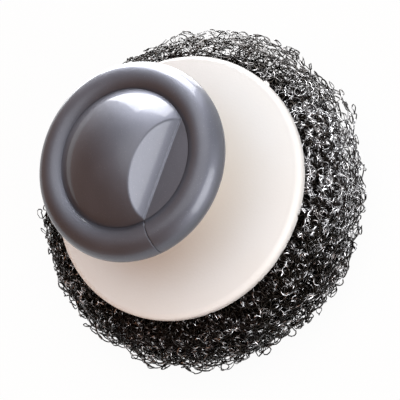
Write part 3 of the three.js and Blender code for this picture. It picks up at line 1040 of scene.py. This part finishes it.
def rim_tab(sizes):
    """The small tab that is left on the rim where the moulding was cut from its sprue."""
    around, rows = 24, 12
    sunk = 0.2 * MM
    depth, height = 0.75, 0.6  # as shares of half of its width
    spin = Matrix.Rotation(sizes.tab_turn, 3, "Z")
    level = foot("base_cover") + sizes.rim_height - sizes.rim_round
    middle = Vector((reach("base_cover") - sunk, 0, level))
    rings = []
    for row in range(rows + 1):
        rise = math.pi * row / rows
        drop = Vector((0, 0, height * math.cos(rise)))
        ring = []
        for step in range(around if 0 < row < rows else 1):
            turn = TURN * step / around
            out = Vector((depth * math.cos(turn), math.sin(turn), 0)) * math.sin(rise) ** 0.5
            ring.append(spin @ (middle + (out - drop) * sizes.tab_size))
        rings.append(ring)
    return rings_object("rim_tab", rings, closed=False)


def copies_of(shape, name, copies, slot):
    """Even copies of a shape round the axis, as one object."""
    mesh = shape.data
    bpy.data.objects.remove(shape)
    return grown(name, mesh, ring_copies_tree(), copies=copies, material=material(slot))


# Fastening

def clamp_plate(sizes):
    """Plate with a square hole and a ring of claws."""
    base = foot("clamp_plate")
    rim = reach("clamp_plate")
    head = base + sizes.plate
    hole = polygon(4, sizes.square_hole, TURN / 8)
    profile = [(hole, base)]
    profile += arc(rim - sizes.plate_round, base + sizes.plate_round, sizes.plate_round, -90, 0, steps=8)
    profile += [(rim, head - BEVEL), (rim - BEVEL, head), (hole, head)]
    plate = lathe("clamp_plate_skin", profile)
    root, tip = sizes.claw_root, sizes.claw_tip
    height = top("clamp_plate") - head
    # The side of a claw, from inside the plate up to its rounded point
    side = [(1.5 * root, -OVERLAP)]
    side += bezier([(1.3 * root, 0), (root, 0.15 * height), (1.5 * tip, 0.9 * height)], steps=10)
    side += arc(0, height - tip, tip, 30, 80, steps=4)
    centre = rim - sizes.claw_inset
    rings = [[(centre, 0, head - OVERLAP)]]
    for ring in turned([(radius, head + level) for radius, level in side], steps=24):
        rings.append([Vector((centre, 0, 0)) + Vector(point) for point in ring])
    rings.append([(centre, 0, top("clamp_plate"))])
    claw = rings_object("claw", rings, closed=False)
    return joined(plate, copies_of(claw, "claws", sizes.claw_count, "white_moulding"))


def tie_bolt(sizes):
    """Bolt with a domed head, a square neck and a cut thread."""
    base = foot("tie_bolt")
    end = top("tie_bolt")
    head = reach("tie_bolt")
    seat = base + sizes.head_height
    radius = sizes.bolt_radius
    ball = (head**2 + sizes.head_height**2) / (2 * sizes.head_height)
    widest = math.degrees(math.asin(head / ball))
    # The dome of the head starts just off the axis, where a pole closes it
    profile = arc(0, base + ball, ball, -89.9, -90 + widest, steps=16)
    profile += [(head - BEVEL, seat), (radius, seat)]
    steps_per_turn = 8
    turns = int(sizes.thread_length / sizes.thread_pitch)
    plain_end, chamfer = 1 * MM, 0.6 * MM
    thread_foot = end - sizes.thread_length - plain_end

    def groove(level):
        def at(turn):
            rise = (level - thread_foot) / sizes.thread_pitch - turn / TURN
            return radius - sizes.thread_depth * (1 - abs(2 * (rise % 1) - 1))

        return at

    profile.append((radius, thread_foot))
    for step in range(1, turns * steps_per_turn):
        level = thread_foot + step * sizes.thread_pitch / steps_per_turn
        profile.append((groove(level), level))
    profile += [(radius - sizes.thread_depth, end - chamfer), (radius - 2 * sizes.thread_depth, end)]
    rings = [[(0, 0, base)], *turned(profile, steps=48), [(0, 0, end)]]
    return rings_object("tie_bolt_skin", rings, closed=False)


def thrust_washer(cover):
    """Flat ring with its edges broken."""
    base = foot("thrust_washer")
    head = top("thrust_washer")
    rim = reach("thrust_washer")
    hole = cover.bolt_hole
    corners = [(hole, base), (rim, base), (rim, head), (hole, head)]
    return lathe("thrust_washer_skin", rounded(corners, BEVEL))


# Scourer

class ScourerFrame:
    """The scourer's section, from its outside to its pressed mass, by turn round the axis and level.

    Levels run from the top of the bulge down to its foot, and past that in under the scourer.
    """

    HIGHEST = math.radians(86)
    FOOT = -TURN / 4
    LOWEST = FOOT - 0.8  # so far in under the scourer
    OPEN_BELOW = -0.35  # below this level, two of three rows leave the loose side open
    LEAN = math.radians(40)  # the dense side is so much past the opposite of the loose side
    GATHERED = 1.4  # spread of the free strands round the dense side
    RIM = math.radians(52)  # rows above this level are close under the rim
    RIM_DEPTH = 0.6  # the deepest of them
    SHALLOW = 0.18  # depth of the outermost layer of rows
    PART_ROW = (0.35, 0.65)  # shares of a turn that a row takes if it doesn't go all round
    SCATTER = 0.4  # spread of such rows round the dense side
    LUMPS = ((6, 3), (14, -5))  # waves round the outside, and how they slant down it

    def __init__(self, sizes):
        self.sizes = sizes
        self.rim = reach("scourer_mesh")
        self.foot = self.rim - sizes.foot_inset
        self.shoulder = reach("base_cover") - sizes.tuck
        self.height = foot("base_cover") - sizes.seat_gap

    def loose(self, turn):
        """1 where the wire is loosest, -1 on the other side."""
        return math.cos(turn - self.sizes.loose_turn)

    def outside(self, turn, level, sink=0.0):
        """A point on the outside, or sunk into the scourer by a distance."""
        sizes = self.sizes
        on_bulge = max(level, self.FOOT)
        across, up = math.cos(on_bulge), math.sin(on_bulge)
        upper = on_bulge > 0
        middle = self.shoulder if upper else self.foot
        rise = self.height - sizes.widest if upper else sizes.widest
        lumps = sum(math.sin(waves * turn + slant * on_bulge) for waves, slant in self.LUMPS)
        spot = Vector(polar(self.rim, turn, on_bulge * sizes.widest)) / sizes.wander_size
        spread = self.rim - middle + sizes.lump * lumps + sizes.wander * noise.noise(spot)
        spread += sizes.bulge * max(self.loose(turn), 0) + sizes.tight * min(self.loose(turn), 0)
        facing = Vector((across / spread, up / rise)).normalized()
        under = max(self.FOOT - level, 0) / (self.FOOT - self.LOWEST) * (middle - sizes.well)
        radius = middle + spread * across - under - sink * facing.x
        return Vector(polar(radius, turn, sizes.widest + rise * up - sink * facing.y))

    def mass(self, turn, level):
        """A point on the pressed mass inside."""
        sizes = self.sizes
        depth = sizes.loose_depth + sizes.loose_swing * self.loose(turn)
        return self.outside(turn, level, sizes.mass_gap + depth * math.cos(max(level, self.FOOT)))

    def point(self, turn, level, depth):
        """A point in the loose wire, at a depth from 0 on the outside to 1 on the pressed mass."""
        return self.outside(turn, level).lerp(self.mass(turn, level), depth)


def strand_line(rng, scourer, turn, run):
    """A line that wanders through the loose wire."""
    level = rng.uniform(scourer.LOWEST, scourer.HIGHEST)
    depth = 1 - (1 - STRAND_DEPTH) * rng.random() ** 2
    heading = rng.uniform(0, TURN)
    line = []
    for _ in range(int(run / LINE_STEP)):
        line.append(scourer.point(turn, level, depth))
        heading += rng.gauss(0, STRAND_TURN)
        turn += LINE_STEP * math.cos(heading) / scourer.rim
        level += LINE_STEP * math.sin(heading) / scourer.sizes.widest
        depth = min(max(depth + rng.gauss(0, STRAND_SINK), STRAND_DEPTH), 1)
        if not scourer.LOWEST < level < scourer.HIGHEST:
            heading = -heading
            level = min(max(level, scourer.LOWEST), scourer.HIGHEST)
    return line


def knit_row(scourer, number, level, depth, start, sweep):
    """A row of the knit: a line round the scourer that wanders up and down and in and out."""
    sway = 2 * scourer.sizes.row_sway  # the noise stays mostly within a half
    steps = int(sweep * scourer.rim / LINE_STEP)
    line = []
    for step in range(steps):
        turn = start + sweep * step / steps
        spot = Vector(polar(ROW_RADIUS, turn, number * ROW_APART))
        rise = level + sway * noise.noise(spot)
        sink = depth + sway * noise.noise(spot + SINK_APART)
        line.append(scourer.point(turn, min(rise, scourer.HIGHEST), max(sink, 0)))
    return line


def knit_lines(rng, scourer):
    """All the lines that the knit follows: rows in layers, most of them on the dense side, and strands."""
    sizes = scourer.sizes
    span = scourer.HIGHEST - scourer.LOWEST
    dense = sizes.loose_turn + TURN / 2 + scourer.LEAN
    lines = []
    for layer in range(sizes.layers):
        for row in range(sizes.rows):
            level = scourer.LOWEST + span * (row + rng.random()) / sizes.rows
            open_below = level < scourer.OPEN_BELOW and row % 3
            sweep = TURN * rng.uniform(*scourer.PART_ROW) if layer or open_below else TURN
            start = dense - sweep / 2 + rng.gauss(0, scourer.SCATTER)
            depth = scourer.SHALLOW + layer / sizes.layers
            lines.append(knit_row(scourer, len(lines), level, depth, start, sweep))
    for row in range(sizes.rim_rows):
        level = scourer.RIM + (scourer.HIGHEST - scourer.RIM) * (row + rng.random()) / sizes.rim_rows
        depth = scourer.RIM_DEPTH * rng.random()
        lines.append(knit_row(scourer, len(lines), level, depth, 0, TURN))
    for _ in range(sizes.strands):
        lines.append(strand_line(rng, scourer, rng.gauss(dense, scourer.GATHERED), sizes.strand_length))
    return lines


def shared_out(lines, most):
    """Lines divided into groups, each with at most so many points."""
    groups = [[]]
    for line in lines:
        if sum(len(other) for other in groups[-1]) + len(line) > most:
            groups.append([])
        groups[-1].append(line)
    return groups


def lines_mesh(lines):
    """A mesh of open lines."""
    points = []
    edges = []
    for line in lines:
        start = len(points)
        points += line
        edges += [(i, i + 1) for i in range(start, len(points) - 1)]
    return plain_mesh("lines", points, edges, [])


def scourer_wire_pieces(sizes):
    """The knitted wire: long strands in loops, in several pieces, and long loose wires."""
    rng = random.Random(sizes.seed)
    scourer = ScourerFrame(sizes)
    tree = curled_wire_tree()
    groups = shared_out(knit_lines(rng, scourer), sizes.piece_run / LINE_STEP)
    loose = [strand_line(rng, scourer, TURN * i * GOLDEN, sizes.stray_length) for i in range(sizes.strays)]
    loops = {"loop": sizes.loop, "advance": sizes.advance, "stray": 0.5 * MM}
    loops["step"] = sizes.advance / sizes.loop_points
    waves = {"loop": 1.2 * sizes.loop, "advance": 9 * sizes.loop, "stray": 1.2 * MM, "step": 0.35 * MM}
    pieces = [(str(i + 1), float(i), lines, loops) for i, lines in enumerate(groups)]
    pieces.append(("strays", 50.0, loose, waves))
    return [
        grown(
            "scourer_wire_" + label,
            lines_mesh(lines),
            tree,
            wire=sizes.wire,
            shoulder=scourer.shoulder,
            widest=sizes.widest,
            seed=seed,
            material=material("scourer_wire"),
            **curl,
        )
        for label, seed, lines, curl in pieces
    ]


def scourer_mass(sizes):
    """The pressed mass of wire inside, with a well for the clamp plate."""
    scourer = ScourerFrame(sizes)
    around, bulge_steps = 288, 40
    claws, seat_gap = 5.5 * MM, 0.3 * MM
    well_roof = top("clamp_plate") - claws + seat_gap
    floor_gap = 0.6 * MM
    boss_room = 6.4 * MM
    bend, neck = sizes.well - 6 * MM, sizes.well - 8 * MM  # radii of the well half way up and at its roof
    top_radius = scourer.shoulder - 2 * MM
    crumple, fine_crumple, fine_share = 2.2 * MM, 1.1 * MM, 0.6
    hollow = [
        (scourer.foot, floor_gap),
        (sizes.well, floor_gap),
        (bend, well_roof / 2),
        (neck, well_roof),
        (boss_room, well_roof),
        (boss_room, scourer.height),
        (top_radius, scourer.height),
    ]
    rings = []
    for step in range(around):
        turn = TURN * step / around
        ring = [Vector(polar(radius, turn, height)) for radius, height in hollow]
        for i in range(bulge_steps + 1):
            level = scourer.HIGHEST + (scourer.FOOT - scourer.HIGHEST) * i / bulge_steps
            point = scourer.mass(turn, level)
            knit = noise.noise(point / crumple) + fine_share * noise.noise(point / fine_crumple)
            ring.append(point + Vector(polar(sizes.mass_lump * knit * math.cos(level), turn, 0)))
        rings.append(ring)
    return rings_object("scourer_mass", rings, closed=True)


# Stage

def place_camera(stage):
    """Camera at the photograph's viewing angle, aimed so that the target falls on its pixel."""
    cos_up, sin_up = math.cos(stage.elevation), math.sin(stage.elevation)
    cos_round, sin_round = math.cos(stage.azimuth), math.sin(stage.azimuth)
    back = Vector((sin_round * cos_up, -cos_round * cos_up, sin_up))
    side = Vector((cos_round, sin_round, 0))
    upright = back.cross(side)
    right = side * math.cos(stage.roll) + upright * math.sin(stage.roll)
    up = upright * math.cos(stage.roll) - side * math.sin(stage.roll)
    across = (stage.target_across - PHOTO_SIZE / 2) / stage.focal
    rise = (PHOTO_SIZE / 2 - stage.target_down) / stage.focal
    ahead = (-back - right * across - up * rise).normalized()
    right = (right - ahead * right.dot(ahead)).normalized()
    up = right.cross(ahead)
    camera = bpy.data.cameras.new("camera")
    camera.sensor_width = 36
    camera.lens = stage.focal * camera.sensor_width / PHOTO_SIZE
    camera.clip_start = 0.01
    made = placed("camera", camera)
    eye = Vector((0, 0, stage.target)) + back * stage.distance
    made.matrix_world = Matrix.Translation(eye) @ Matrix((right, up, -ahead)).transposed().to_4x4()
    bpy.context.scene.camera = made


def add_lamp(name, power, facing=None):
    """A soft box for reflections, which looks at the object, or the way given."""
    (azimuth, distance, height), size, roll = LAMPS[name]
    lamp = bpy.data.lights.new(name, "AREA")
    lamp.shape = "RECTANGLE"
    lamp.size, lamp.size_y = size
    lamp.energy = power
    lamp.color = LAMP_TINT
    made = placed(name, lamp)
    turn = math.radians(azimuth)
    spot = Vector((math.sin(turn) * distance, -math.cos(turn) * distance, height))
    target = Vector((0, 0, bpy.context.scene.palm_scourer.stage.target))
    away = -Vector(facing) if facing else spot - target
    spin = away.to_track_quat("Z", "Y").to_matrix() @ Matrix.Rotation(math.radians(roll), 3, "Z")
    made.matrix_world = Matrix.Translation(spot) @ spin.to_4x4()
    made.visible_camera = False
    made.visible_diffuse = False


def add_floor(stage):
    """Plain white floor that keeps a soft shadow.

    Rays from the camera, and those that metal or glass sends on, see its own white.
    """
    half = stage.floor / 2
    points = [(-half, -half, 0), (half, -half, 0), (half, half, 0), (-half, half, 0)]
    mesh = plain_mesh("floor", points, [], [(0, 1, 2, 3)])
    made = Finish("floor")
    names = ("Is Camera Ray", "Is Glossy Ray", "Is Transmission Ray")
    camera, glossy, through = made.outputs("ShaderNodeLightPath", *names)
    seen = (camera + glossy + through) > 0.5
    lit = made.add("ShaderNodeBsdfDiffuse", {"Color": FLOOR_SHADE})
    glow = made.add("ShaderNodeEmission", {"Color": (1, 1, 1), "Strength": 1.0})
    blend = {0: seen * stage.floor_glow, 1: lit, 2: glow}
    mesh.materials.append(made.end(made.add("ShaderNodeMixShader", blend)))
    placed("floor", mesh)


def light_world(stage):
    """Soft light: bright from above and in front, pale from one side, dim and warm from the other."""
    world = bpy.data.worlds.new("studio")
    bpy.context.scene.world = world
    world.use_nodes = True
    graph = Graph(world.node_tree)
    way = graph.add("ShaderNodeTexCoord")
    overhead = way.dot(SKY).ramp(*SKY_EDGE)
    ahead = way.dot(FRONT).ramp(*FRONT_EDGE)
    low = graph.mix(way.dot(NEAR).ramp(*NEAR_EDGE), stage.far_fill, stage.near_fill)
    shade = graph.mix(overhead.at_least(ahead), low, stage.sky)
    strength = stage.fill + (stage.front - stage.fill) * ahead
    light = graph.add("ShaderNodeBackground", {"Color": shade, "Strength": strength})
    graph.add("ShaderNodeOutputWorld", {"Surface": light})


# Operators

class Step:
    """A step that builds some of the scourer from its settings."""

    def execute(self, context):
        self.build(context.scene.palm_scourer)
        return {"FINISHED"}


class SCOURER_OT_stage(Step, Operator):
    """Adds the camera, the floor and the lights"""

    bl_idname = "scourer.stage"
    bl_label = "Stage"

    def build(self, settings):
        stage = settings.stage
        bpy.context.scene.view_settings.view_transform = "Standard"
        place_camera(stage)
        add_floor(stage)
        light_world(stage)
        for name in LAMPS:
            add_lamp(name, getattr(stage, name), UP if name == "card" else None)


class SCOURER_OT_knob(Step, Operator):
    """Adds the grip ring, the cap and the hub, and finishes the nut"""

    bl_idname = "scourer.knob"
    bl_label = "Knob"

    def build(self, settings):
        finish_piece(grip_ring(settings.knob), "grey_moulding", "knob", "grip_ring")
        finish_piece(knob_cap(settings.knob), "grey_moulding", "knob", "knob_cap")
        finish_piece(knob_hub(settings.knob, settings.cover), "grey_moulding", "knob", "knob_hub")
        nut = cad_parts["captive_nut"]
        nut.data.materials.clear()
        nut.data.materials.append(material("bright_steel"))


class SCOURER_OT_cover(Step, Operator):
    """Adds the cover"""

    bl_idname = "scourer.cover"
    bl_label = "Cover"

    def build(self, settings):
        finish_piece(base_cover(settings.cover), "white_moulding", "base", "base_cover")


class SCOURER_OT_fastening(Step, Operator):
    """Adds the clamp plate, the bolt and the washer"""

    bl_idname = "scourer.fastening"
    bl_label = "Fastening"

    def build(self, settings):
        finish_piece(clamp_plate(settings.clamp), "white_moulding", "clamp", "clamp_plate")
        finish_piece(tie_bolt(settings.clamp), "bright_steel", "clamp", "tie_bolt")
        finish_piece(thrust_washer(settings.cover), "bright_steel", "base", "thrust_washer")


class SCOURER_OT_scourer(Step, Operator):
    """Adds the scourer's pressed mass and its knitted wire"""

    bl_idname = "scourer.scourer"
    bl_label = "Scourer"

    def build(self, settings):
        finish_piece(scourer_mass(settings.scourer), "pressed_wire", "base", "scourer_core")
        for piece in scourer_wire_pieces(settings.scourer):
            finish_piece(piece, "scourer_wire", "base", "scourer_mesh")


class SCOURER_PT_sidebar(Panel):
    """Lists the steps that build the palm scourer"""

    bl_idname = "SCOURER_PT_sidebar"
    bl_label = "Palm Scourer"
    bl_space_type = "VIEW_3D"
    bl_region_type = "UI"
    bl_category = "Scourer"

    def draw(self, context):
        for operator in OPERATORS:
            self.layout.operator(operator.bl_idname)


GROUPS = (KnobSizes, CoverSizes, ClampSizes, ScourerSizes, Finishes, StageSizes, PalmScourer)
OPERATORS = (
    SCOURER_OT_stage,
    SCOURER_OT_knob,
    SCOURER_OT_cover,
    SCOURER_OT_fastening,
    SCOURER_OT_scourer,
)


def register():
    for cls in (*GROUPS, *OPERATORS, SCOURER_PT_sidebar):
        bpy.utils.register_class(cls)
    bpy.types.Scene.palm_scourer = PointerProperty(type=PalmScourer)


def unregister():
    del bpy.types.Scene.palm_scourer
    for cls in reversed((*GROUPS, *OPERATORS, SCOURER_PT_sidebar)):
        bpy.utils.unregister_class(cls)


def main():
    register()
    bpy.ops.scourer.stage()
    bpy.ops.scourer.knob()
    bpy.ops.scourer.cover()
    bpy.ops.scourer.fastening()
    bpy.ops.scourer.scourer()
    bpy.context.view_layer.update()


if __name__ == "__main__":
    main()
